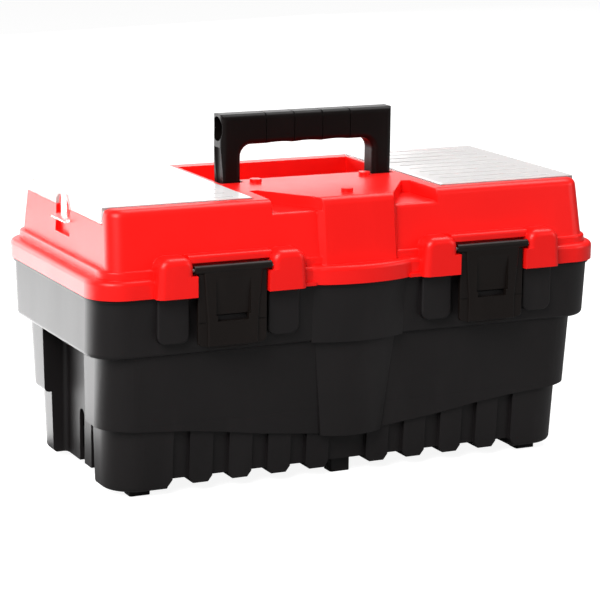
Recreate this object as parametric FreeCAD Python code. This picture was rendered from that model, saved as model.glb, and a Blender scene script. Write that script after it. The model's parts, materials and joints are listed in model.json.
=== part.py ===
import FreeCAD, Part
import math
import os

os.makedirs("parts", exist_ok=True)
V = FreeCAD.Vector

# ---------------------------------------------------------------- sizes, mm
# Frame: origin under the middle of the closed box, X along its length,
# -Y to the latch side, +Z up. Every outline is centred on X and Y.
LENGTH = 462.0            # over the lid flange
DEPTH = 230.0             # over the lid flange
FLANGE_BOTTOM = 170.8     # height of the tub with the parting line
LID_HEIGHT = 69.2
BASE_WALL = 3.0
LID_WALL = 2.4
CORNER = 28.0             # plan radius of the flange and the tub's tiers
PARTING_GAP = 0.8         # open line between tub and lid
RUN = 0.06                # radial clearance of a pin that turns
SIDE_PLAY = 0.6           # play of pieces that move past each other
SLIP = 0.2                # play of a loose plate between its ribs
SINK = 0.5                # how far a joined-on shape starts inside its wall
FRONT = -DEPTH / 2
REAR = DEPTH / 2
LID_TOP = FLANGE_BOTTOM + LID_HEIGHT

# Tub tiers: insets from the flange, (x low, y low, x high, y high)
TIER_1 = (2.7, 7.8, 2.3, 4.1)
TIER_2 = (14.4, 17.4, 12.9, 11.7)
TIER_3 = (21.9, 24.0, 20.4, 20.3)
TUB_RIM = FLANGE_BOTTOM - PARTING_GAP
TIER_1_BOTTOM = TUB_RIM - 49.0
TIER_2_BOTTOM = 59.5
TIER_3_BOTTOM = 6.0
TIER_EDGE = 4.0           # rounding under each tier
FLOOR_TOP = 17.0
GROOVE_BOTTOM = 14.0      # underside of the floor between the ribs
RIB_BOTTOM = 9.0
RIB_PITCH = 35.0
RIB_WIDTH = 20.5
RIB_MARGIN = 88.0         # plain length left beside the ribs at each end
RIB_DEPTH = 4.0
RIB_BEVEL = 4.0
RIB_LAND = 0.5            # upright strip under a rib's bevel
GRIP_DEPTH = 20.0         # hand recess in each end, from the second tier inwards
GRIP_HALF = 50.0
GRIP_SLOT = (13.5, 5.5, 52.0, 4.0)    # offset in Y, half width, height, depth
FOOT = (9.0, 7.0)         # half size of a foot
FOOT_EDGE = 2.0
FOOT_X = LENGTH / 2 - 50.0
FOOT_Y = DEPTH / 2 - 43.0
LIP_HEIGHT = 5.0          # rim that stands up inside the lid
LIP_INSET = 1.6
LIP_PLAY = 1.2
BEAD = 1.2
BEAD_HEIGHT = 2.0

# Bulge down the middle of the front, and the pointed lower edge of the second tier
BULGE_HALF = (28.0, 37.0, 42.0)       # chevron point, tier joint, rim
BULGE_PROUD = 9.0
# (share of the straight front's half length, drop below the second tier)
CHEVRON = ((0.0, 21.0), (0.14, 19.5), (0.39, 14.0), (0.58, 8.0), (0.74, 4.0))

# Lid
FLANGE_TOP = FLANGE_BOTTOM + 15.2
FLANGE_EDGE = 4.0
BAND = (8.6, 4.6, 7.0)                # insets in X and Y, height over the flange
BAND_DRAFT = 0.5
BAND_EDGE = 2.0
CROWN_BOTTOM = (13.6, 5.1)            # insets of the raised middle
CROWN_TOP = (16.5, 15.2)
CROWN_CORNER = 13.0
CROWN_EDGE = 6.5
CROWN_FRONT = FRONT + CROWN_TOP[1]
CROWN_REAR = REAR - CROWN_TOP[1]
NOSE_HALF = (31.6, 31.4)
NOSE_FLANK = 4.5
NOSE_Y = (FRONT + 1.5, FRONT + 9.0)
TAB = (14.0, 3.0)                     # tabs under the flange: length, and height and depth
BOSS = (5.0, 3.0)                     # radius and height of the three round studs
BOSS_AT = ((-51.0, -15.0), (51.0, -15.0), (0.0, FRONT + 31.0))

# Carrying handle, shown upright
GRIP_X = 79.8
GRIP_HEIGHT = 26.0
GRIP_THICK = 21.0
LEG = 18.0
PIVOT_Z = LID_TOP - 14.0
PIVOT_PIN = 3.0
PIN_BLIND = 0.4           # lid wall left beyond a pivot pin's end
HANDLE_EDGE = 5.0
WINDOW_EDGE = 10.0
POCKET_WALL = 2.2
POCKET_DEPTH = 14.0       # hollow in each end of the grip
LEG_CHANNEL = (9.0, 6.0, 12.0)        # radius, how far its centre is out, start over the pivot
LEG_TAPER = 2.5
NOTCH_PITCH = 26.2
NOTCH = 0.9
SCALLOP_RISE = 1.2
TROUGH_PLAY = 1.7
TROUGH_FLOOR = PIVOT_Z - GRIP_THICK / 2 - 2.5
TROUGH_FRONT = 1.0
TROUGH_BACK = CROWN_REAR - 17.8
GRIP_TOP = PIVOT_Z + TROUGH_BACK - 11.0

# Clear organiser covers and the wells under them
COVER_IN = GRIP_X + 5.6               # |x| of the cover's hinge edge
COVER_FRONT = CROWN_FRONT + 13.0
COVER_BACK = CROWN_REAR - 7.6
COVER_THICK = 2.2
COVER_TOP = LID_TOP + 1.2
COVER_REST = 0.3                      # gap between a cover and the lid under it
COVER_BARREL = 2.6
COVER_PEG = 1.3
PEG_REACH = 2.8
COVER_GROOVES = 10
COVER_GROOVE = (2.8, 1.0)             # width and depth
GROOVE_ENDS = (15.0, 20.0)            # plain strip at the hinge edge and at the outer end
COVER_EDGE = 2.0
APRON_BOTTOM = COVER_TOP - 13.6
APRON_THICK = 2.2
APRON_OUT = 1.0                       # apron face beyond the crown's top edge
CATCH_HALF = 16.0                     # half width of the cover's snap opening
CATCH_RIM = 1.6
TONGUE_HALF = 5.0
TONGUE_STEP = 0.6
FINGER_LIP = (4.5, 1.5)               # how far it stands out, and its edge
CATCH_SLOT = (LID_TOP - 35.0, LID_TOP - 23.5, 3.2)   # bottom, height of the lip, depth in the lid
WELL_IN = COVER_IN + 5.6
WELL_RIM = 4.0                        # ledge round the well under the cover
WELL_FLOOR = LID_TOP - 46.0
LUG = (8.0, 14.0, 12.0, 16.0)         # rest in the well's corner: x, from the front, y, height
DIVIDER = 1.6
DIVIDER_RIB = 1.6
DIVIDER_DROP = 14.0                   # divider's top edge below the lid's top
WELL_SPLITS = (-0.17, 0.17)           # divider places as shares of the well's depth

# Sunk corners at the front of the lid's top, beside the nose
SCOOP_FLOOR = LID_TOP - 10.5
SCOOP_EDGE = 3.5
SCOOP_OUT = COVER_IN - 9.4
SCOOP = ((NOSE_HALF[0] + 0.9, FRONT + 11.0), (SCOOP_OUT - 9.0, FRONT + 63.0),
         (SCOOP_OUT - 1.5, FRONT + 61.0), (SCOOP_OUT, FRONT - 15.0), (NOSE_HALF[0] + 0.9, FRONT - 15.0))

# Latches, and the lid's shoulders round them
LATCH_X = (LENGTH / 2 - CORNER + BULGE_HALF[2]) / 2 - 4.5
LATCH_HALF = 29.8
LATCH_BACK = FRONT - 2.6
LATCH_THICK = 4.8
LATCH_FLAP = 3.2                      # thickness of the side flaps
LATCH_BOTTOM = FLANGE_BOTTOM - 43.3
LATCH_SAG = (3.0, 12.0)               # rise of the lower corners, half length of the flat middle
LATCH_CORNER = 4.0
LATCH_EDGE = 0.8
LATCH_PANEL = (25.5, 22.0, 1.6, 1.4)  # half width high and low, step at the bottom, edge
LATCH_SCOOP = (1.5, 1.8, 4.0)         # side margin, plate left behind it, plain strip above
LATCH_NICK = (1.0, 0.6)               # line across each flap: height and depth
LATCH_SLOT = (13.4, FLANGE_BOTTOM - 21.2, FLANGE_BOTTOM - 16.2)    # half width, bottom, top
CATCH_EXTRA = 4.0                     # catch beyond the slot on each side
CATCH_SLOPE = 7.0                     # its underside is lower at the tub's wall by this
LATCH_PIN = 1.5
PIN_ANCHOR = 6.0                      # latch pin held in each shoulder
ROLL_HALF = 33.3
ROLL_R = 3.6
ROLL_Y = LATCH_BACK - 2.0
ROLL_Z = FLANGE_BOTTOM + 21.2
SHOULDER_OUT = 65.0                   # from the latch's middle to a shoulder's outer side
SHOULDER_FRONT = FRONT - 9.0
SHOULDER_TOP = FLANGE_BOTTOM + 32.2
SHOULDER_DRAFT = 2.0
SHOULDER_CORNER = 9.0
SHOULDER_EDGE = 6.0
HOOD_FRONT = FRONT - 1.0              # red ledge over the latch's roll
HOOD_EDGE = 2.5
PAD_FRONT = FRONT + 0.4
PAD_BOTTOM = FLANGE_BOTTOM - 38.8
PAD_INSET = 3.0
PAD_CORNER = 8.0
PAD_EDGE = 2.0

# Lid hinges at the back
HINGE_R = 5.0
HINGE_Y = REAR + HINGE_R - 1.0
HINGE_Z = FLANGE_BOTTOM + 3.2
HINGE_PIN = 1.8
HINGE_X = LATCH_X + 2.0
KNUCKLE = 24.0            # tub knuckle; the lid's two are half as long
HINGE_PLAY = 0.5
HINGE_ARM = 16.0

# Lift-out tray
TRAY_PLAY = 2.4
TRAY_WALL = 2.2
TRAY_EDGE = 2.0
TRAY_RIM = (1.2, 3.0)                 # how far the rim stands out, and its height
TRAY_TOP = TUB_RIM - 4.0
TRAY_HANDLE_TOP = TROUGH_FLOOR - LID_WALL - 11.6
TRAY_HANDLE_X = 62.0
TRAY_HANDLE_EDGE = (8.0, 5.0)         # outer and inner corner of the arch
TRAY_BAR = 7.0
TRAY_POST = 2.0
TRAY_POST_DROP = 14.0
TRAY_RIB_DROP = 8.0
TRAY_SPLIT_X = (TRAY_HANDLE_X + LENGTH / 2 - 69.0) / 2
TRAY_SPLIT_DROP = 6.0

FAR = 400.0
NEAR = 0.01


# ------------------------------------------------------------ basic shapes
def box(x0, x1, y0, y1, z0, z1):
    return Part.makeBox(x1 - x0, y1 - y0, z1 - z0, V(x0, y0, z0))


def rod_x(x0, x1, y, z, r):
    return Part.makeCylinder(r, x1 - x0, V(x0, y, z), V(1, 0, 0))


def rod_y(y0, y1, x, z, r):
    return Part.makeCylinder(r, y1 - y0, V(x, y0, z), V(0, 1, 0))


def rod_z(z0, z1, x, y, r):
    return Part.makeCylinder(r, z1 - z0, V(x, y, z0), V(0, 0, 1))


def prism(points, axis, a, b):
    """Straight solid on a flat outline; points leave out the axis's coordinate."""
    put = {"x": lambda p: V(a, p[0], p[1]),
           "y": lambda p: V(p[0], a, p[1]),
           "z": lambda p: V(p[0], p[1], a)}[axis]
    along = {"x": V(b - a, 0, 0), "y": V(0, b - a, 0), "z": V(0, 0, b - a)}[axis]
    ring = [put(p) for p in points]
    return Part.Face(Part.makePolygon(ring + ring[:1])).extrude(along)


def join(shapes):
    return shapes[0].multiFuse(shapes[1:]) if len(shapes) > 1 else shapes[0]


def flip(shape):
    return shape.mirror(V(0, 0, 0), V(1, 0, 0))


def both(shape):
    """The shape and its mirror image on the other side of the middle."""
    return [shape, flip(shape)]


def rounded(shape, r, wanted):
    edges = [e for e in shape.Edges if wanted(e.BoundBox)]
    return shape.makeFillet(r, edges)


def level(z):
    return lambda b: abs(b.ZMin - z) < NEAR and abs(b.ZMax - z) < NEAR


def ring(hx, hy, r, z):
    """Wire round a rectangle with rounded corners."""
    k = r * math.sqrt(0.5)
    parts = []
    for sx, sy, turn in ((1, 1, 0), (-1, 1, 1), (-1, -1, 2), (1, -1, 3)):
        cx, cy = sx * (hx - r), sy * (hy - r)
        ends = [V(cx + sx * r, cy, z), V(cx, cy + sy * r, z)]
        if turn % 2:
            ends.reverse()
        parts.append((ends[0], V(cx + sx * k, cy + sy * k, z), ends[1]))
    edges = []
    for i, (start, middle, end) in enumerate(parts):
        edges.append(Part.Arc(start, middle, end).toShape())
        edges.append(Part.makeLine(end, parts[(i + 1) % 4][0]))
    return Part.Wire(edges)


def tub(low, high):
    """Solid between two rounded rectangles, each (half x, half y, radius, z)."""
    return Part.makeLoft([ring(*low), ring(*high)], True, True)


def straight(hx, hy, r, z0, z1):
    """The same without draft."""
    return tub((hx, hy, r, z0), (hx, hy, r, z1))


def tier(insets, z0, z1, shrink=0.0, radius=CORNER):
    low = (LENGTH / 2 - insets[0] - shrink, DEPTH / 2 - insets[1] - shrink)
    high = (LENGTH / 2 - insets[2] - shrink, DEPTH / 2 - insets[3] - shrink)
    r = radius - shrink
    return tub(low + (r, z0), high + (r, z1))


def face_y(insets, share):
    """Y of a tier's front face, share 0 at its bottom and 1 at its top."""
    return -(DEPTH / 2 - insets[1] - share * (insets[3] - insets[1]))


def bow(low, high, proud, back):
    """Shallow rounded bulge on the front; low and high are (half width, y, z)."""
    wires = []
    for half, y, z in (low, high):
        corners = [V(-half, back, z), V(-half, y, z), V(half, y, z), V(half, back, z)]
        crest = V(0, y - proud, z)
        wires.append(Part.Wire([Part.makeLine(corners[0], corners[1]),
                                Part.Arc(corners[1], crest, corners[2]).toShape(),
                                Part.makeLine(corners[2], corners[3]),
                                Part.makeLine(corners[3], corners[0])]))
    return Part.makeLoft(wires, True, True)


def grown(points, d):
    """Outline moved outwards by d; its points run clockwise or anticlockwise."""
    area = sum(p[0] * q[1] - q[0] * p[1] for p, q in zip(points, points[1:] + points[:1]))
    side = math.copysign(d, area)
    lines = []
    for p, q in zip(points, points[1:] + points[:1]):
        run = math.hypot(q[0] - p[0], q[1] - p[1])
        nx, ny = (q[1] - p[1]) / run, (p[0] - q[0]) / run
        lines.append((nx, ny, nx * p[0] + ny * p[1] + side))
    out = []
    for one, two in zip(lines[-1:] + lines[:-1], lines):
        det = one[0] * two[1] - one[1] * two[0]
        out.append(((one[2] * two[1] - one[1] * two[2]) / det,
                    (one[0] * two[2] - one[2] * two[0]) / det))
    return out


# --------------------------------------------------------------------- tub
def rib_centres():
    half = int((LENGTH / 2 - RIB_MARGIN) / RIB_PITCH)
    side = [RIB_PITCH * (i + 0.8) for i in range(half)]
    return sorted([-x for x in side] + side)


def chevron_cut():
    """Everything under the second tier's pointed front edge."""
    span = LENGTH / 2 - CORNER
    right = [(x * span, TIER_2_BOTTOM - drop) for x, drop in CHEVRON] + [(span, TIER_2_BOTTOM)]
    left = [(-x, z) for x, z in reversed(right[1:])]
    outline = [(-FAR, TIER_2_BOTTOM)] + left + right + [(FAR, TIER_2_BOTTOM), (FAR, 0), (-FAR, 0)]
    return prism(outline, "y", -FAR, 0)


def chevron_point():
    return TIER_2_BOTTOM - CHEVRON[0][1]


def tub_outside():
    drop = (TIER_2[1] - TIER_2[3]) / (TIER_1_BOTTOM - TIER_2_BOTTOM)
    point = chevron_point() - TIER_EDGE
    low = (TIER_2[0], TIER_2[1] + drop * (TIER_2_BOTTOM - point), TIER_2[2], TIER_2[3])
    front = tier(low, point, TIER_1_BOTTOM + BASE_WALL).cut(box(-FAR, FAR, 0, FAR, 0, FAR))
    front = front.cut(chevron_cut())
    one = rounded(tier(TIER_1, TIER_1_BOTTOM, TUB_RIM), TIER_EDGE, level(TIER_1_BOTTOM))
    two = rounded(tier(TIER_2, TIER_2_BOTTOM, TIER_1_BOTTOM + BASE_WALL),
                  TIER_EDGE, level(TIER_2_BOTTOM))
    three = rounded(tier(TIER_3, TIER_3_BOTTOM, TIER_2_BOTTOM + BASE_WALL),
                    TIER_EDGE, level(TIER_3_BOTTOM))
    return one, join([two, front]), three


def bulges():
    """The front bulge in two lengths, following each tier's slope."""
    point, joint, rim = BULGE_HALF
    back = FRONT / 2
    lower = bow((point, face_y(TIER_2, 0), chevron_point()),
                (joint, face_y(TIER_2, 1), TIER_1_BOTTOM + BASE_WALL), BULGE_PROUD, back)
    upper = bow((rim, face_y(TIER_1, 0), TIER_1_BOTTOM),
                (rim, face_y(TIER_1, 1), TUB_RIM), BULGE_PROUD, back)
    return [lower, upper]


def grip_floor():
    """|x| of the hand recess's inner face."""
    return LENGTH / 2 - TIER_2[0] - GRIP_DEPTH


def end_grips(grow=0.0):
    """Hand recess under the first tier, on both ends."""
    floor_x = grip_floor() - grow
    half = GRIP_HALF + grow
    cut = box(floor_x, FAR, -half, half, -1, TIER_1_BOTTOM + grow)
    return both(rounded(cut, TIER_EDGE,
                        lambda b: b.XMax < floor_x + NEAR and b.ZLength > GRIP_HALF))


def grip_slots():
    """Two shallow upright slots in each hand recess."""
    offset, half, height, depth = GRIP_SLOT
    x0 = grip_floor() - depth
    found = []
    for y in (-offset, offset):
        found += both(box(x0, FAR, y - half, y + half, 0, height - half))
        found += both(rod_x(x0, FAR, y, height - half, half))
    return found


def underside():
    """Cuts that leave the ribs, corner blocks and feet under the floor."""
    centres = rib_centres()
    half = RIB_WIDTH / 2
    outer = centres[-1] + half
    cuts = [box(-outer, outer, -FAR, FAR, 0, RIB_BOTTOM)]
    end = outer + RIB_PITCH - RIB_WIDTH
    spans = zip([-end] + [c + half for c in centres], [c - half for c in centres] + [end])
    land = RIB_BOTTOM - RIB_LAND
    face = DEPTH / 2 - TIER_3[1] - RIB_DEPTH
    lean = TIER_3[1] - TIER_3[3]
    for left, right in spans:
        cuts.append(prism([(left - RIB_BEVEL, 0), (left - RIB_BEVEL, land), (left, GROOVE_BOTTOM),
                           (right, GROOVE_BOTTOM), (right + RIB_BEVEL, land),
                           (right + RIB_BEVEL, 0)], "y", -FAR, FAR))
        for sign in (-1, 1):
            wedge = [(sign * face, 0), (sign * (face + lean), TIER_2_BOTTOM),
                     (sign * FAR, TIER_2_BOTTOM), (sign * FAR, 0)]
            cuts.append(prism(wedge, "x", left, right))
    return cuts


def tub_inside():
    """Room inside the tub, kept a wall away from every outside face."""
    upper = tier(TIER_1, TIER_1_BOTTOM + BASE_WALL, TUB_RIM + LIP_HEIGHT + 1, BASE_WALL)
    middle = tier(TIER_2, TIER_2_BOTTOM + BASE_WALL, TIER_1_BOTTOM + BASE_WALL + 1, BASE_WALL)
    lower = tier(TIER_3, FLOOR_TOP, TIER_2_BOTTOM + BASE_WALL + 1, BASE_WALL + RIB_DEPTH)
    return join([upper, middle, lower]).cut(join(end_grips(BASE_WALL)))


def shoulder_inner():
    """Distance from a latch's middle to the shoulder beside its plate."""
    return LATCH_HALF + SIDE_PLAY * 2


def pads():
    """Raised pads on the tub under the lid's shoulders, beside each latch."""
    near, far = shoulder_inner() + PAD_INSET, SHOULDER_OUT - PAD_INSET
    root = FRONT + TIER_1[1] + BASE_WALL
    top = TUB_RIM - 1
    found = []
    for side in (-1, 1):
        for sign in (-1, 1):
            x0, x1 = sorted((side * LATCH_X + sign * near, side * LATCH_X + sign * far))
            block = box(x0, x1, PAD_FRONT, root, PAD_BOTTOM, top)
            block = rounded(block, PAD_CORNER, lambda b: b.ZMax < PAD_BOTTOM + NEAR and b.YLength > 1)
            found.append(rounded(block, PAD_EDGE, lambda b: b.YMax < PAD_FRONT + NEAR and b.ZMin < top - 1))
    return found


def catches():
    """Tongues on the tub that the latches' slots reach."""
    half, low, high = LATCH_SLOT
    tip = LATCH_BACK + SIDE_PLAY
    root = FRONT + TIER_1[1] + BASE_WALL
    wedge = [(root, low - 1 - CATCH_SLOPE), (tip, low - 1), (tip, high - 1), (root, high)]
    reach = half + CATCH_EXTRA
    return [prism(wedge, "x", s * LATCH_X - reach, s * LATCH_X + reach) for s in (-1, 1)]


def tub_knuckles():
    top = TUB_RIM - 1
    wall = REAR - TIER_1[3] - BASE_WALL / 2
    half = HINGE_R / 2
    slant = HINGE_R * 0.6
    plan = [(wall, top - HINGE_ARM), (wall, top), (HINGE_Y - HINGE_R + 2, top),
            (HINGE_Y - HINGE_R, HINGE_Z), (HINGE_Y, HINGE_Z - half), (HINGE_Y + slant, HINGE_Z - slant)]
    found = []
    for side in (-1, 1):
        x0, x1 = side * HINGE_X - KNUCKLE / 2, side * HINGE_X + KNUCKLE / 2
        found += [prism(plan, "x", x0, x1), rod_x(x0, x1, HINGE_Y, HINGE_Z, HINGE_R)]
    return found


def hinge_holes(r):
    span = KNUCKLE + HINGE_PLAY
    return [rod_x(s * HINGE_X - span, s * HINGE_X + span, HINGE_Y, HINGE_Z, r) for s in (-1, 1)]


def rim():
    """Bead under the parting line and the lip that stands inside the lid."""
    hx, hy = LENGTH / 2 - TIER_1[2], DEPTH / 2 - TIER_1[3]
    low = TUB_RIM - BEAD_HEIGHT
    bead = straight(hx + BEAD, hy + BEAD, CORNER, low, TUB_RIM)
    bead_bow = bow((BULGE_HALF[2], -hy - BEAD, low), (BULGE_HALF[2], -hy - BEAD, TUB_RIM),
                   BULGE_PROUD, FRONT / 2)
    lip = straight(hx - LIP_INSET, hy - LIP_INSET, CORNER - LIP_INSET, TUB_RIM, TUB_RIM + LIP_HEIGHT)
    return [bead, bead_bow, lip]


def feet():
    half_x, half_y = FOOT
    found = []
    for x in (-FOOT_X, 0, FOOT_X):
        for y in (-FOOT_Y, FOOT_Y):
            foot = box(x - half_x, x + half_x, y - half_y, y + half_y, 0, GROOVE_BOTTOM + 1)
            found.append(rounded(foot, FOOT_EDGE, lambda b: b.ZLength > 1))
    return found


def base_tub():
    one, two, three = tub_outside()
    three = three.cut(join(underside()))
    body = join([one, two, three] + bulges())
    body = body.cut(join(end_grips()))
    body = body.cut(join(grip_slots()))
    body = join([body] + rim() + pads() + catches() + tub_knuckles() + feet())
    body = body.cut(tub_inside())
    for hole in hinge_holes(HINGE_PIN):
        body = body.cut(hole)
    return body.removeSplitter()


# --------------------------------------------------------------------- lid
def crown(shrink=0.0, low=FLANGE_TOP - 1, top=LID_TOP):
    insets = (CROWN_BOTTOM[0], CROWN_BOTTOM[1], CROWN_TOP[0], CROWN_TOP[1])
    return tier(insets, low, top, shrink, CROWN_CORNER)


def nose():
    wires = []
    for half, y, z in zip(NOSE_HALF, NOSE_Y, (FLANGE_TOP - 1, LID_TOP)):
        wide = half + NOSE_FLANK
        side = [V(wide, FRONT / 2, z), V(wide, y + NOSE_FLANK, z), V(half, y, z)]
        other = [V(-p.x, p.y, z) for p in reversed(side)]
        wires.append(Part.makePolygon(side + other + side[:1]))
    solid = Part.makeLoft(wires, True, True)
    return rounded(solid, CROWN_EDGE, lambda b: level(LID_TOP)(b) and b.YMax < NOSE_Y[1] + 1)


def flange(shrink=0.0, z0=FLANGE_BOTTOM, z1=FLANGE_TOP):
    return straight(LENGTH / 2 - shrink, DEPTH / 2 - shrink, CORNER - shrink, z0, z1)


def flange_bow():
    half = BULGE_HALF[2] + 3
    solid = bow((half, FRONT, FLANGE_BOTTOM), (half, FRONT, FLANGE_TOP), BULGE_PROUD, FRONT / 2)
    return rounded(solid, FLANGE_EDGE, lambda b: level(FLANGE_TOP)(b) and b.YMin < FRONT - 1)


def band():
    """Low step round the lid between its flange and its raised middle."""
    inset_x, inset_y, height = BAND
    hx, hy, r = LENGTH / 2 - inset_x, DEPTH / 2 - inset_y, CORNER - inset_x
    top = FLANGE_TOP + height
    solid = tub((hx, hy, r, FLANGE_TOP - 1), (hx - BAND_DRAFT, hy - BAND_DRAFT, r - BAND_DRAFT, top))
    return rounded(solid, BAND_EDGE, level(top))


def well_end():
    return LENGTH / 2 - CROWN_TOP[0] - LID_WALL * 2


def well_box(grow=0.0):
    """Organiser well on the right; grow adds its walls and floor, out to the lid's end wall."""
    x1 = FAR if grow else well_end()
    return box(WELL_IN - grow, x1, COVER_FRONT + WELL_RIM - grow, COVER_BACK - WELL_RIM + grow,
               WELL_FLOOR - grow, FAR)


def trough(grow=0.0):
    """Sunk place that the folded handle lies in, with a slot for each leg."""
    half = GRIP_X + TROUGH_PLAY + grow
    leg_in = GRIP_X - LEG - TROUGH_PLAY - grow
    front = TROUGH_FRONT - grow
    back = TROUGH_BACK + grow
    slot_front = -GRIP_THICK / 2 - TROUGH_PLAY - grow
    plan = [(-half, slot_front), (-leg_in, slot_front), (-leg_in, front), (leg_in, front),
            (leg_in, slot_front), (half, slot_front), (half, back), (-half, back)]
    return prism(plan, "z", TROUGH_FLOOR - grow, FAR)


def scoops(grow=0.0):
    plan = grown(list(SCOOP), grow) if grow else list(SCOOP)
    return both(prism(plan, "z", SCOOP_FLOOR - grow, FAR))


def crown_with_scoops():
    body = rounded(crown(), CROWN_EDGE, level(LID_TOP)).cut(join(scoops()))
    rear = SCOOP[1][1]
    return rounded(body, SCOOP_EDGE, lambda b: level(SCOOP_FLOOR)(b) and b.YLength < NEAR and b.YMax < rear)


def shoulder_blocks():
    """Shoulders each side of a latch, narrower above so that its roll fits."""
    inner, outer = shoulder_inner(), SHOULDER_OUT
    step_z = ROLL_Z - ROLL_R - SIDE_PLAY
    step_x = ROLL_HALF + SIDE_PLAY
    back = CROWN_FRONT + LID_WALL
    found = []
    for middle in (-LATCH_X, LATCH_X):
        for sign in (-1, 1):
            plan = [(inner, FLANGE_BOTTOM), (outer, FLANGE_BOTTOM), (outer - SHOULDER_DRAFT, SHOULDER_TOP),
                    (step_x, SHOULDER_TOP), (step_x, step_z), (inner, step_z)]
            block = prism([(middle + sign * x, z) for x, z in plan], "y", SHOULDER_FRONT, back)
            block = rounded(block, SHOULDER_CORNER, lambda b: b.ZMin > SHOULDER_TOP - NEAR and b.YLength > 1)
            found.append(rounded(block, SHOULDER_EDGE, lambda b: b.YMax < SHOULDER_FRONT + NEAR
                                 and b.ZMax > FLANGE_BOTTOM + NEAR
                                 and abs(b.Center.x - middle) > step_x + 1))
        reach = step_x + 2
        hood = box(middle - reach, middle + reach, HOOD_FRONT, back,
                   ROLL_Z + ROLL_R + SIDE_PLAY * 2, SHOULDER_TOP)
        found.append(rounded(hood, HOOD_EDGE, lambda b: b.ZMin > SHOULDER_TOP - NEAR
                             and b.YMax < HOOD_FRONT + NEAR))
    return found


def lid_knuckles():
    wall = REAR - LID_WALL / 2
    plan = [(wall, FLANGE_BOTTOM + 1), (HINGE_Y, HINGE_Z - HINGE_R / 2),
            (HINGE_Y, HINGE_Z + HINGE_R), (wall, FLANGE_TOP - FLANGE_EDGE)]
    found = []
    for side in (-1, 1):
        for sign in (-1, 1):
            near = side * HINGE_X + sign * (KNUCKLE / 2 + HINGE_PLAY)
            x0, x1 = sorted((near, near + sign * KNUCKLE / 2))
            found += [prism(plan, "x", x0, x1), rod_x(x0, x1, HINGE_Y, HINGE_Z, HINGE_R)]
    return found


def hinge_relief():
    """Room in the lid for the tub's knuckles."""
    half = KNUCKLE / 2 + HINGE_PLAY
    return [rod_x(s * HINGE_X - half, s * HINGE_X + half, HINGE_Y, HINGE_Z, HINGE_R + HINGE_PLAY)
            for s in (-1, 1)]


def lid_tabs():
    """Small tabs under the flange each side of its bow."""
    length, size = TAB
    near = BULGE_HALF[2] + 1
    return both(box(near, near + length, FRONT - size, FRONT + size, FLANGE_BOTTOM, FLANGE_BOTTOM + size))


def cover_end():
    """|x| of the apron's outer face."""
    return LENGTH / 2 - CROWN_TOP[0] + APRON_OUT


def cover_middle():
    return (COVER_FRONT + COVER_BACK) / 2


def cover_seat():
    """Step in the lid that the right cover lies in, with its end apron."""
    low = COVER_TOP - COVER_THICK - COVER_REST
    front, back = COVER_FRONT - SIDE_PLAY, COVER_BACK + SIDE_PLAY
    apron_in = cover_end() - APRON_THICK - SIDE_PLAY / 2
    barrel_x, barrel_z = COVER_IN + COVER_BARREL, COVER_TOP - COVER_BARREL
    peg = PEG_REACH + SLIP
    return [box(COVER_IN - SIDE_PLAY, FAR, front, back, low, FAR),
            box(apron_in, FAR, front, back, APRON_BOTTOM - SIDE_PLAY, FAR),
            rod_y(front, back, barrel_x, barrel_z, COVER_BARREL + SIDE_PLAY),
            rod_y(COVER_FRONT - peg, COVER_BACK + peg, barrel_x, barrel_z, COVER_PEG + RUN)]


def snap_slot():
    """Finger recess in the lid's right end, under the cover's lip."""
    half = CATCH_HALF + SIDE_PLAY
    middle = cover_middle()
    low, _, depth = CATCH_SLOT
    return box(cover_end() - depth, FAR, middle - half, middle + half, low, APRON_BOTTOM)


def cover_lug():
    """Block in the right well's front inner corner."""
    length, from_front, width, height = LUG
    y0 = COVER_FRONT + from_front
    top = COVER_TOP - COVER_BARREL * 2 - SIDE_PLAY
    return box(WELL_IN - SINK, WELL_IN + length, y0, y0 + width, top - height, top)


def divider_ys():
    front, back = COVER_FRONT + WELL_RIM, COVER_BACK - WELL_RIM
    return [cover_middle() + share * (back - front) for share in WELL_SPLITS]


def divider_ribs():
    """Pairs of ribs on the right well's end walls that hold the dividers."""
    x0, x1 = WELL_IN, well_end()
    gap = DIVIDER / 2 + SLIP
    top = LID_TOP - DIVIDER_DROP + 2
    found = []
    for y in divider_ys():
        for sign in (-1, 1):
            a, b = sorted((y + sign * gap, y + sign * (gap + DIVIDER_RIB)))
            found.append(box(x0 - SINK, x0 + DIVIDER_RIB, a, b, WELL_FLOOR - SINK, top))
            found.append(box(x1 - DIVIDER_RIB, x1 + SINK, a, b, WELL_FLOOR - SINK, top))
    return found


def bosses():
    radius, height = BOSS
    return [rod_z(LID_TOP - 1, LID_TOP + height, x, y, radius) for x, y in BOSS_AT]


def lid_shell():
    outside = join([rounded(flange(), FLANGE_EDGE, level(FLANGE_TOP)), flange_bow(), band(),
                    crown_with_scoops(), nose()]
                   + shoulder_blocks() + lid_knuckles() + lid_tabs())
    rim_room = flange(LIP_INSET + LIP_PLAY, FLANGE_BOTTOM - 1, TUB_RIM + LIP_HEIGHT + 1)
    pocket_walls = join(both(well_box(LID_WALL)) + [trough(LID_WALL)] + scoops(LID_WALL))
    inner = flange(LIP_INSET + LIP_PLAY, FLANGE_BOTTOM - 1, FLANGE_TOP - LID_WALL)
    upper = crown(LID_WALL, FLANGE_TOP - LID_WALL - 1, LID_TOP - LID_WALL)
    body = outside.cut(join([inner, upper]).cut(pocket_walls)).cut(rim_room)
    body = body.cut(join(both(well_box())))
    body = body.cut(trough())
    body = body.cut(join(scoops()))
    for piece in cover_seat() + [snap_slot()]:
        body = body.cut(join(both(piece)))
    for piece in divider_ribs() + [cover_lug()]:
        body = join([body] + both(piece))
    body = join([body] + bosses())
    for hole in hinge_holes(HINGE_PIN + RUN) + hinge_relief() + pivot_pins() + latch_pins(0.0):
        body = body.cut(hole)
    return body.removeSplitter()


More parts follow.
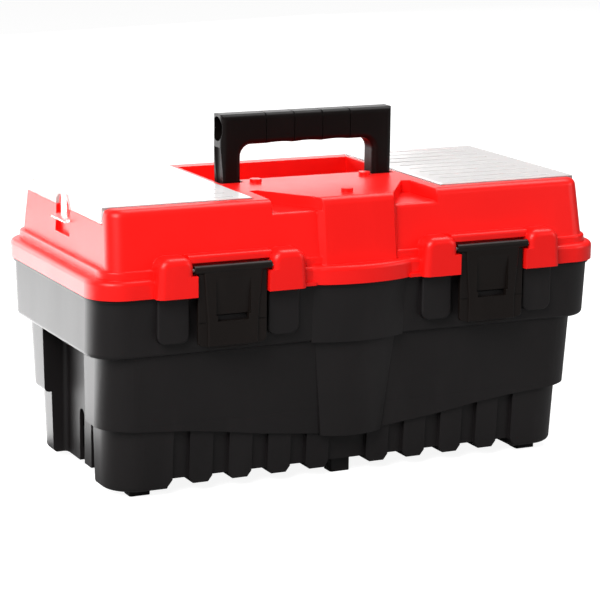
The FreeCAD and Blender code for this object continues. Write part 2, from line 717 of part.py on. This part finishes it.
# ------------------------------------------------------ pins and the handle
def pivot_pins():
    reach = LID_WALL - PIN_BLIND
    x0 = GRIP_X - LEG - TROUGH_PLAY - reach
    x1 = GRIP_X + TROUGH_PLAY + reach
    return both(rod_x(x0, x1, 0, PIVOT_Z, PIVOT_PIN))


def latch_pins(grow):
    reach = ROLL_HALF + PIN_ANCHOR
    return [rod_x(s * LATCH_X - reach, s * LATCH_X + reach, ROLL_Y, ROLL_Z, LATCH_PIN + grow)
            for s in (-1, 1)]


def end_hollows(low):
    """Pocket in the grip's right end, groove down the leg, and the leg's slope."""
    half_y = GRIP_THICK / 2
    y = half_y - POCKET_WALL
    pocket = box(GRIP_X - POCKET_DEPTH, FAR, -y, y, low + POCKET_WALL + 1, GRIP_TOP - POCKET_WALL)
    pocket = rounded(pocket, y - SINK, lambda b: b.XLength > POCKET_DEPTH)
    radius, out, start = LEG_CHANNEL
    channel = rod_z(PIVOT_Z + start, low - 2, GRIP_X + out, 0, radius)
    foot_x = GRIP_X - LEG_TAPER
    slope = prism([(foot_x, 0), (foot_x, PIVOT_Z), (GRIP_X, low), (FAR, low), (FAR, 0)], "y", -FAR, FAR)
    return pocket, channel, slope


def notches(low):
    """Fine grooves round the grip between its finger places."""
    half_y = GRIP_THICK / 2 - NOTCH
    core = rounded(box(-GRIP_X, GRIP_X, -half_y, half_y, low + NOTCH, GRIP_TOP - NOTCH),
                   HANDLE_EDGE - NOTCH, lambda b: b.XLength > GRIP_X)
    found = []
    for k in (-1.5, -0.5, 0.5, 1.5):
        x = k * NOTCH_PITCH
        found.append(box(x - NOTCH / 2, x + NOTCH / 2, -FAR, FAR, low - 2, FAR).cut(core))
    return found


def scallops(low, inner):
    """Shallow hollows for the fingers under the grip."""
    radius = (NOTCH_PITCH ** 2 / 4 + SCALLOP_RISE ** 2) / (2 * SCALLOP_RISE)
    between_legs = box(-inner, inner, -FAR, FAR, low - 1, FAR)
    return [rod_y(-FAR, FAR, k * NOTCH_PITCH, low + SCALLOP_RISE - radius, radius).common(between_legs)
            for k in (-1, 0, 1)]


def handle():
    half_y = GRIP_THICK / 2
    low = GRIP_TOP - GRIP_HEIGHT
    inner = GRIP_X - LEG
    window = box(-inner, inner, -FAR, FAR, 0, low)
    window = rounded(window, WINDOW_EDGE, lambda b: b.YLength > FAR and b.ZMin > low - NEAR)
    slab = box(-GRIP_X, GRIP_X, -half_y, half_y, PIVOT_Z, GRIP_TOP).cut(window)
    slab = rounded(slab, HANDLE_EDGE, lambda b: b.YLength < NEAR and b.ZMax > PIVOT_Z + 1)
    body = join([slab] + both(rod_x(inner, GRIP_X, 0, PIVOT_Z, half_y)))
    for cutter in end_hollows(low):
        body = body.cut(join(both(cutter)))
    for cutter in notches(low) + scallops(low, inner):
        body = body.cut(cutter)
    for pin in pivot_pins():
        x = pin.BoundBox.Center.x
        body = body.cut(rod_x(x - LEG, x + LEG, 0, PIVOT_Z, PIVOT_PIN + RUN))
    return body.removeSplitter()


# ------------------------------------------------------------------ latches
def latch_plate(x, flap):
    """Side flaps: one thin plate with its lower corners drawn up."""
    sag, flat = LATCH_SAG
    corner_z = LATCH_BOTTOM + sag
    right = [(LATCH_HALF, ROLL_Z), (LATCH_HALF, corner_z), (flat, LATCH_BOTTOM)]
    outline = [(x + a, z) for a, z in right] + [(x - a, z) for a, z in reversed(right)]
    plate = prism(outline, "y", flap, LATCH_BACK)
    plate = rounded(plate, LATCH_CORNER, lambda b: b.YLength > 1 and abs(b.ZMin - corner_z) < NEAR)
    return rounded(plate, LATCH_EDGE, lambda b: b.YMax < flap + NEAR and b.ZMin < ROLL_Z - 1)


def latch_panel(x, front, back):
    """Raised middle of the latch, wider above its slot."""
    wide, narrow, step, edge = LATCH_PANEL
    top = ROLL_Z - 1
    right = [(wide, top), (narrow, LATCH_SLOT[1]), (narrow, LATCH_BOTTOM + step)]
    outline = [(x + a, z) for a, z in right] + [(x - a, z) for a, z in reversed(right)]
    panel = prism(outline, "y", front, back)
    return rounded(panel, edge, lambda b: b.YMax < front + NEAR and b.ZMin < top - 1)


def latch():
    """Left latch; the right one is its mirror image."""
    x = -LATCH_X
    front, flap = LATCH_BACK - LATCH_THICK, LATCH_BACK - LATCH_FLAP
    half, low, high = LATCH_SLOT
    body = join([latch_plate(x, flap), latch_panel(x, front, flap + SINK),
                 rod_x(x - ROLL_HALF, x + ROLL_HALF, ROLL_Y, ROLL_Z, ROLL_R)])
    body = body.cut(box(x - half, x + half, -FAR, FAR, low, high))
    margin, left_behind, plain = LATCH_SCOOP
    rise = ROLL_Z - ROLL_R - high - plain
    depth = LATCH_THICK - left_behind
    radius = (rise ** 2 + depth ** 2) / (2 * depth)
    scoop = rod_x(x - half - margin, x + half + margin, front + depth - radius, high, radius)
    body = body.cut(scoop.common(box(-FAR, FAR, -FAR, FAR, high, FAR)))
    nick, nick_depth = LATCH_NICK
    for sign in (-1, 1):
        a, b = sorted((x + sign * (LATCH_HALF + 1), x + sign * (LATCH_PANEL[1] + SINK)))
        body = body.cut(box(a, b, flap - 1, flap + nick_depth, low - nick, low))
    return body.cut(latch_pins(RUN)[0]).removeSplitter()


# ------------------------------------------------------------- clear covers
def cover_skin(end):
    plate = box(COVER_IN + COVER_BARREL, end, COVER_FRONT, COVER_BACK, COVER_TOP - COVER_THICK, COVER_TOP)
    apron = box(end - APRON_THICK, end, COVER_FRONT, COVER_BACK, APRON_BOTTOM, COVER_TOP)
    skin = join([plate, apron]).removeSplitter()
    return rounded(skin, COVER_EDGE, lambda b: b.XMin > end - NEAR
                   and (b.ZMin > COVER_TOP - NEAR or b.YLength < NEAR))


def cover_grooves(end):
    width, depth = COVER_GROOVE
    pitch = (COVER_BACK - COVER_FRONT) / COVER_GROOVES
    x0, x1 = COVER_IN + GROOVE_ENDS[0], end - GROOVE_ENDS[1]
    low = COVER_TOP - depth
    found = []
    for i in range(COVER_GROOVES):
        y = COVER_FRONT + (i + 0.5) * pitch
        found.append(join([box(x0, x1, y - width / 2, y + width / 2, low, FAR),
                           rod_z(low, FAR, x0, y, width / 2), rod_z(low, FAR, x1, y, width / 2)]))
    return found


def arch(half, top, x0, x1):
    """Arched opening round the cover's middle, from below the cover up to top."""
    middle = cover_middle()
    shape = box(x0, x1, middle - half, middle + half, 0, top)
    return rounded(shape, half * 0.7, lambda b: b.ZMin > top - NEAR and b.XLength > 1)


def snap(end):
    """Rim of the opening, tongue and finger lip at the cover's outer end."""
    middle = cover_middle()
    top = COVER_TOP - COVER_THICK - CATCH_RIM
    back = end - APRON_THICK
    half = CATCH_HALF + CATCH_RIM
    edging = arch(half, COVER_TOP - COVER_THICK, back, end + TONGUE_STEP)
    edging = edging.common(box(back, end + TONGUE_STEP, middle - half, middle + half, APRON_BOTTOM, FAR))
    opening = arch(CATCH_HALF, top, back - 1, FAR)
    lip_z = CATCH_SLOT[1]
    out, edge = FINGER_LIP
    inside = back + TONGUE_STEP
    tongue = box(inside, end, middle - TONGUE_HALF, middle + TONGUE_HALF, lip_z + 1, top + 1)
    outline = [(inside, lip_z + edge * 2), (end + out, lip_z + edge), (end + out, lip_z), (inside, lip_z + 1)]
    lip = prism(outline, "y", middle - CATCH_HALF, middle + CATCH_HALF)
    return edging, opening, [tongue, lip]


def cover():
    """Right cover, closed."""
    end = cover_end()
    barrel_x, barrel_z = COVER_IN + COVER_BARREL, COVER_TOP - COVER_BARREL
    skin = cover_skin(end)
    for groove in cover_grooves(end):
        skin = skin.cut(groove)
    edging, opening, tongue = snap(end)
    skin = join([skin, edging]).cut(opening)
    barrel = rod_y(COVER_FRONT, COVER_BACK, barrel_x, barrel_z, COVER_BARREL)
    pegs = rod_y(COVER_FRONT - PEG_REACH, COVER_BACK + PEG_REACH, barrel_x, barrel_z, COVER_PEG)
    return join([skin, barrel, pegs] + tongue).removeSplitter()


def organiser_divider(y):
    """Loose divider of the right well, one across the well at y."""
    play = SLIP * 1.5
    return box(WELL_IN + play, well_end() - play, y - DIVIDER / 2, y + DIVIDER / 2,
               WELL_FLOOR, LID_TOP - DIVIDER_DROP)


# --------------------------------------------------------------------- tray
def tray_sizes(high):
    """Tray's half sizes at its bottom, or at its top where high is 1."""
    x = LENGTH / 2 - TIER_1[0] - high * (TIER_1[2] - TIER_1[0]) - BASE_WALL - TRAY_PLAY
    y = DEPTH / 2 - TIER_1[1] - BASE_WALL - TRAY_PLAY + high
    return x, y


def tray_floor():
    return TIER_1_BOTTOM + BASE_WALL + TRAY_WALL


def rib_pair(middle, gap, thick):
    """The two spans along X that hold a plate of half thickness gap."""
    near = gap + SLIP
    return [sorted((middle + s * near, middle + s * (near + thick))) for s in (-1, 1)]


def tray():
    low = TIER_1_BOTTOM + BASE_WALL
    floor = tray_floor()
    r = CORNER - BASE_WALL - TRAY_PLAY
    w = TRAY_WALL
    (ax, ay), (bx, by) = tray_sizes(0), tray_sizes(1)
    outside = rounded(tub((ax, ay, r, low), (bx, by, r, TRAY_TOP)), TRAY_EDGE, level(low))
    inside = tub((ax - w, ay - w, r - w, floor), (bx - w, by - w, r - w, TRAY_TOP + 1))
    inside = rounded(inside, TRAY_EDGE, level(floor))
    out, height = TRAY_RIM
    edge = straight(bx + out, by + out, r, TRAY_TOP - height, TRAY_TOP)
    body = join([outside, edge]).cut(inside)
    holders = []
    for sign in (-1, 1):
        for a, b in rib_pair(sign * TRAY_HANDLE_X, TRAY_BAR / 2, TRAY_POST):
            holders.append(box(a, b, -TRAY_BAR - 1, TRAY_BAR + 1, floor - SINK, TRAY_TOP - TRAY_POST_DROP))
        for a, b in rib_pair(sign * TRAY_SPLIT_X, DIVIDER / 2, DIVIDER_RIB):
            for side in (-1, 1):
                c, d = sorted((side * (ay - w - DIVIDER_RIB), side * (ay - w + SINK)))
                holders.append(box(a, b, c, d, floor - SINK, TRAY_TOP - TRAY_RIB_DROP))
    return join([body] + holders).removeSplitter()


def tray_handle():
    """Arch that lifts the tray, its feet held between posts on the tray's floor."""
    out = TRAY_HANDLE_X + TRAY_BAR / 2
    inner_top = TRAY_HANDLE_TOP - TRAY_BAR
    body = box(-out, out, -TRAY_BAR, TRAY_BAR, tray_floor(), TRAY_HANDLE_TOP)
    body = rounded(body, TRAY_HANDLE_EDGE[0], lambda b: b.YLength > 1 and b.ZMin > TRAY_HANDLE_TOP - NEAR)
    window = box(-out + TRAY_BAR, out - TRAY_BAR, -FAR, FAR, 0, inner_top)
    window = rounded(window, TRAY_HANDLE_EDGE[1], lambda b: b.YLength > FAR and b.ZMin > inner_top - NEAR)
    return body.cut(window)


def tray_divider(x):
    half = tray_sizes(0)[1] - TRAY_WALL - SLIP * 2
    plate = box(x - DIVIDER / 2, x + DIVIDER / 2, -half, half, tray_floor(), TRAY_TOP - TRAY_SPLIT_DROP)
    return rounded(plate, TRAY_EDGE + SINK, lambda b: b.XLength > 1)


# --------------------------------------------------------------------- save
def nodes():
    pins = hinge_holes(HINGE_PIN)
    pivots = pivot_pins()
    bolts = latch_pins(0.0)
    made = {
        "base_tub": base_tub(), "lid_shell": lid_shell(),
        "hinge_pin_left": pins[0], "hinge_pin_right": pins[1],
        "handle": handle(), "handle_pin_right": pivots[0], "handle_pin_left": pivots[1],
        "latch_left": latch(), "latch_right": flip(latch()),
        "latch_pin_left": bolts[0], "latch_pin_right": bolts[1],
        "cover_right": cover(), "cover_left": flip(cover()),
        "tray": tray(), "tray_handle": tray_handle(),
        "tray_divider_left": tray_divider(-TRAY_SPLIT_X),
        "tray_divider_right": tray_divider(TRAY_SPLIT_X),
    }
    for place, y in zip(("front", "rear"), divider_ys()):
        plate = organiser_divider(y)
        made["organiser_divider_right_" + place] = plate
        made["organiser_divider_left_" + place] = flip(plate)
    return made


for name, shape in nodes().items():
    solids = shape.Solids
    assert len(solids) == 1, (name, len(solids))
    assert solids[0].isValid(), name
    solids[0].exportStep("parts/" + name + ".step")
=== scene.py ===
import bpy
import json
import math
from mathutils import Matrix, Vector


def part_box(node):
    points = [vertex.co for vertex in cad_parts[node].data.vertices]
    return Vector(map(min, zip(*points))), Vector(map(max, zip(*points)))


# Toolbox with tray: the CAD nodes keep their shapes, and this script gives them their
# finishes, with a studio and a camera.

# Camera: angles in degrees, distances in metres, lens and sensor in millimetres
CAMERA_AZIMUTH = -25.52
CAMERA_ELEVATION = 12.3
CAMERA_ROLL = 0.64
CAMERA_DISTANCE = 2.053
CAMERA_LENS = 142.9
CAMERA_AIM_Z = 0.130
CAMERA_SIDE = -0.0013
CAMERA_RISE = 0.0016
CAMERA_SENSOR = 36.0
CAMERA_CLIP = (0.05, 50.0)

# Studio: what the camera sees behind the box is white, what the box reflects is dim
SKY_BRIGHT, SKY_DIM = (1.0, 1.0, 1.0), (0.12, 0.12, 0.12)
FLOOR_SIZE = 60.0
FLOOR_BRIGHT, FLOOR_DIM = (0.35, 0.35, 0.35), (0.30, 0.30, 0.30)
FLOOR_GLOW = 0.9
# (name, place, aim, size, watts)
LIGHTS = (
    ("backdrop", (-0.6, 2.6, 1.1), (0, 0, 0.15), (5.0, 2.4), 78.0),
    ("key", (-1.6, -1.4, 1.8), (0, 0, 0.15), (1.5, 1.5), 95.0),
    ("side", (-1.1, 1.5, 0.40), (0, 0, 0.12), (2.0, 0.8), 20.0),
    ("card", (-0.70, 0.65, 0.003), (-0.70, 0.65, 1.0), (1.1, 1.1), 24.0),
    ("top", (0.8, 0.3, 2.0), (0, 0, 0.20), (1.2, 1.2), 24.0),
    ("fill", (1.8, -1.2, 0.9), (0, 0, 0.12), (1.0, 1.0), 10.0),
)

PLASTIC_IOR = 1.48
PLASTIC_SPREAD = (-0.04, 0.038)       # roughness below and above the named value
PLASTIC_EDGE = 0.0006
GRAIN_DEPTH = 0.0002
FLOW = (26.0, (1.0, 1.0, 0.25), 0.05, 0.0008)     # scale, stretch, bump strength and depth
RUBBED_EXTRA = 0.002

# Clear covers: light let through in the grooves and end, and on the ridges
COVER_CLEAR, COVER_MILKY = 0.85, 0.25
COVER_RIDGE = (0.0008, 0.0003)        # ridge starts and ends this far below the cover's top
COVER_TINT = ((0.95, 0.93, 0.93), (1.0, 0.97, 0.96))
COVER_IOR = 1.49
COVER_EDGE = 0.0005

# Steel pins
STEEL_TINT = ((0.55, 0.55, 0.56), (0.32, 0.29, 0.27))

# Plastic finishes: (material name, linear colour, roughness, grain strength, grain scale,
# how much lighter the rubbed patches are, gloss)
PLASTICS = {
    "lid_red": ("lid_red_pp", (0.82, 0.0065, 0.0048), 0.36, 0.10, 1500.0, 1.12, 0.3),
    "tub_black": ("tub_black_pp", (0.0070, 0.0058, 0.0060), 0.46, 0.22, 1100.0, 1.5, 0.28),
    "handle_black": ("handle_black_pp", (0.0030, 0.0018, 0.0016), 0.38, 0.10, 1400.0, 1.5, 0.14),
    "latch_black": ("latch_black_pp", (0.0065, 0.0045, 0.0038), 0.36, 0.10, 1400.0, 1.5, 0.2),
    "tray_black": ("tray_black_pp", (0.0120, 0.0115, 0.0120), 0.45, 0.14, 1200.0, 1.4, 0.3),
    "divider_black": ("divider_black_pp", (0.0120, 0.0115, 0.0120), 0.40, 0.10, 1400.0, 1.4, 0.3),
}

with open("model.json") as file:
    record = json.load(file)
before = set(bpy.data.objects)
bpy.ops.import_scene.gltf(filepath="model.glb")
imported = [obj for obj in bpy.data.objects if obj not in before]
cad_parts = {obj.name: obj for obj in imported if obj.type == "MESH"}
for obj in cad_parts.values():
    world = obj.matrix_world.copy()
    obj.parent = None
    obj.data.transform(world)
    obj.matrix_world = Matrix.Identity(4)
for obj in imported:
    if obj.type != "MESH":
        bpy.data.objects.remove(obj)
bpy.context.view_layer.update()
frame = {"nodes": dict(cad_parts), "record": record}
nodes = frame["nodes"]
slots = {part["node"]: part["material_slot"] for part in frame["record"]["subparts"]}


# ------------------------------------------------------------------ node helpers
class Graph:
    """Short calls for making a material's nodes."""

    def __init__(self, name):
        self.material = bpy.data.materials.new(name)
        self.material.use_nodes = True
        self.tree = self.material.node_tree
        self.shader = self.tree.nodes["Principled BSDF"]
        self.place = self.add("ShaderNodeTexCoord").outputs["Object"]

    def add(self, kind, **values):
        node = self.tree.nodes.new(kind)
        for key, value in values.items():
            setattr(node, key, value)
        return node

    def link(self, source, target):
        self.tree.links.new(source, target)

    def noise(self, scale, detail=3.0, roughness=0.55, stretch=None):
        node = self.add("ShaderNodeTexNoise")
        node.inputs["Scale"].default_value = scale
        node.inputs["Detail"].default_value = detail
        node.inputs["Roughness"].default_value = roughness
        self.link(self.stretched(stretch), node.inputs["Vector"])
        return node.outputs["Fac"]

    def stretched(self, stretch):
        if stretch is None:
            return self.place
        node = self.add("ShaderNodeMapping")
        node.inputs["Scale"].default_value = stretch
        self.link(self.place, node.inputs["Vector"])
        return node.outputs["Vector"]

    def ranged(self, source, low, high, start=0.0, end=1.0):
        node = self.add("ShaderNodeMapRange")
        node.inputs["From Min"].default_value = start
        node.inputs["From Max"].default_value = end
        node.inputs["To Min"].default_value = low
        node.inputs["To Max"].default_value = high
        self.link(source, node.inputs["Value"])
        return node.outputs["Result"]

    def blend(self, factor, one, two):
        node = self.add("ShaderNodeMix", data_type="RGBA")
        self.link(factor, node.inputs["Factor"])
        for socket, value in ((node.inputs[6], one), (node.inputs[7], two)):
            if isinstance(value, tuple):
                socket.default_value = value + (1.0,)
            else:
                self.link(value, socket)
        return node.outputs[2]

    def bump(self, height, strength, distance, normal=None):
        node = self.add("ShaderNodeBump")
        node.inputs["Strength"].default_value = strength
        node.inputs["Distance"].default_value = distance
        self.link(height, node.inputs["Height"])
        if normal is not None:
            self.link(normal, node.inputs["Normal"])
        return node.outputs["Normal"]

    def soft_edges(self, radius):
        node = self.add("ShaderNodeBevel", samples=4)
        node.inputs["Radius"].default_value = radius
        return node.outputs["Normal"]


def scaled(colour, factor, extra=0.0):
    return tuple(min(1.0, c * factor + extra) for c in colour)


def moulded(name, colour, roughness, grain, grain_scale, lighter, gloss):
    """Injection-moulded plastic: fine grain, faint flow marks, slightly rubbed patches."""
    g = Graph(name)
    broad = g.noise(9.0, 2.0)
    scale, stretch, strength, depth = FLOW
    flow = g.noise(scale, 4.0, 0.6, stretch)
    fine = g.noise(grain_scale, 2.0, 0.5)
    tint = g.blend(g.ranged(broad, 0.0, 0.5, 0.35, 0.7), colour, scaled(colour, lighter))
    rubbed = scaled(colour, lighter ** 2, RUBBED_EXTRA)
    tint = g.blend(g.ranged(flow, 0.0, 0.35, 0.52, 0.78), tint, rubbed)
    g.link(tint, g.shader.inputs["Base Color"])
    low, high = PLASTIC_SPREAD
    g.link(g.ranged(flow, roughness + low, roughness + high), g.shader.inputs["Roughness"])
    g.shader.inputs["IOR"].default_value = PLASTIC_IOR
    g.shader.inputs["Specular IOR Level"].default_value = gloss
    normal = g.bump(fine, grain, GRAIN_DEPTH, g.soft_edges(PLASTIC_EDGE))
    g.link(g.bump(flow, strength, depth, normal), g.shader.inputs["Normal"])
    return g


def clear_plastic(name):
    """Hazy clear cover: milky ridges, clearer grooves, fine scratches."""
    g = Graph(name)
    haze = g.noise(40.0, 5.0, 0.6)
    scratch = g.noise(220.0, 2.0, 0.5, (1.0, 14.0, 1.0))
    tint = g.blend(g.ranged(haze, 0.0, 1.0, 0.3, 0.75), *COVER_TINT)
    g.link(tint, g.shader.inputs["Base Color"])
    g.link(g.ranged(scratch, 0.10, 0.26), g.shader.inputs["Roughness"])
    g.shader.inputs["IOR"].default_value = COVER_IOR
    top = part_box("cover_left")[1].z
    height = g.add("ShaderNodeSeparateXYZ")
    g.link(g.place, height.inputs["Vector"])
    start, end = (top - drop for drop in COVER_RIDGE)
    ridge = g.ranged(height.outputs["Z"], COVER_CLEAR, COVER_MILKY, start, end)
    g.link(ridge, g.shader.inputs["Transmission Weight"])
    g.link(g.bump(scratch, 0.06, GRAIN_DEPTH, g.soft_edges(COVER_EDGE)), g.shader.inputs["Normal"])
    return g


def steel(name):
    """Drawn steel pin: fine lines along its length."""
    g = Graph(name)
    lines = g.noise(900.0, 2.0, 0.5, (0.04, 1.0, 1.0))
    stain = g.noise(120.0, 4.0)
    tint = g.blend(g.ranged(stain, 0.0, 0.6, 0.45, 0.8), *STEEL_TINT)
    g.link(tint, g.shader.inputs["Base Color"])
    g.link(g.ranged(lines, 0.25, 0.45), g.shader.inputs["Roughness"])
    g.shader.inputs["Metallic"].default_value = 1.0
    g.link(g.bump(lines, 0.15, 0.0001), g.shader.inputs["Normal"])
    return g


def finishes():
    made = {slot: moulded(*values) for slot, values in PLASTICS.items()}
    made["clear_cover"] = clear_plastic("clear_cover_ps")
    made["steel"] = steel("pin_steel")
    return {slot: graph.material for slot, graph in made.items()}


def dress(materials):
    for name, obj in nodes.items():
        obj.data.materials.clear()
        obj.data.materials.append(materials[slots[name]])


# ------------------------------------------------------------------------ studio
def camera():
    data = bpy.data.cameras.new("camera")
    data.lens = CAMERA_LENS
    data.sensor_width = CAMERA_SENSOR
    data.clip_start, data.clip_end = CAMERA_CLIP
    obj = bpy.data.objects.new("camera", data)
    bpy.context.scene.collection.objects.link(obj)
    a, e, r = (math.radians(v) for v in (CAMERA_AZIMUTH, CAMERA_ELEVATION, CAMERA_ROLL))
    back = Vector((math.sin(a) * math.cos(e), -math.cos(a) * math.cos(e), math.sin(e)))
    level = Vector((math.cos(a), math.sin(a), 0.0))
    upright = back.cross(level)
    right = level * math.cos(r) + upright * math.sin(r)
    up = upright * math.cos(r) - level * math.sin(r)
    eye = Vector((0, 0, CAMERA_AIM_Z)) + back * CAMERA_DISTANCE + right * CAMERA_SIDE + up * CAMERA_RISE
    turn = Matrix((right, up, back)).transposed().to_4x4()
    obj.matrix_world = Matrix.Translation(eye) @ turn
    bpy.context.scene.camera = obj


def softbox(name, place, aim, size, watts):
    data = bpy.data.lights.new(name, "AREA")
    data.shape = "RECTANGLE"
    data.size, data.size_y = size
    data.energy = watts
    obj = bpy.data.objects.new(name, data)
    bpy.context.scene.collection.objects.link(obj)
    obj.visible_camera = False
    obj.location = place
    obj.rotation_euler = (Vector(aim) - Vector(place)).to_track_quat("-Z", "Y").to_euler()


def seen_by_camera(tree, kind, bright, dim):
    """Stage shader: bright to the camera and dim to everything that reflects it."""
    path = tree.nodes.new("ShaderNodeLightPath")
    mix = tree.nodes.new("ShaderNodeMixShader")
    tree.links.new(path.outputs["Is Camera Ray"], mix.inputs["Fac"])
    for socket, value in ((mix.inputs[1], dim), (mix.inputs[2], bright)):
        node = tree.nodes.new(kind)
        node.inputs["Color"].default_value = (*value, 1.0)
        tree.links.new(node.outputs[0], socket)
    return mix.outputs["Shader"]


def floor():
    """White paper that glows to the camera alone, so that hardly a shadow shows on it."""
    bpy.ops.mesh.primitive_plane_add(size=FLOOR_SIZE, location=(0, 0, 0))
    plane = bpy.context.object
    plane.name = "floor"
    g = Graph("floor_paper")
    paper = seen_by_camera(g.tree, "ShaderNodeBsdfDiffuse", FLOOR_BRIGHT, FLOOR_DIM)
    path = g.add("ShaderNodeLightPath")
    glow = g.add("ShaderNodeEmission")
    g.link(g.ranged(path.outputs["Is Camera Ray"], 0.0, FLOOR_GLOW), glow.inputs["Strength"])
    total = g.add("ShaderNodeAddShader")
    g.link(paper, total.inputs[0])
    g.link(glow.outputs["Emission"], total.inputs[1])
    g.link(total.outputs["Shader"], g.tree.nodes["Material Output"].inputs["Surface"])
    plane.data.materials.append(g.material)


def studio():
    world = bpy.data.worlds.new("studio")
    bpy.context.scene.world = world
    world.use_nodes = True
    tree = world.node_tree
    sky = seen_by_camera(tree, "ShaderNodeBackground", SKY_BRIGHT, SKY_DIM)
    tree.links.new(sky, tree.nodes["World Output"].inputs["Surface"])
    for light in LIGHTS:
        softbox(*light)
    floor()


dress(finishes())
camera()
studio()
bpy.context.scene.view_settings.view_transform = "Standard"
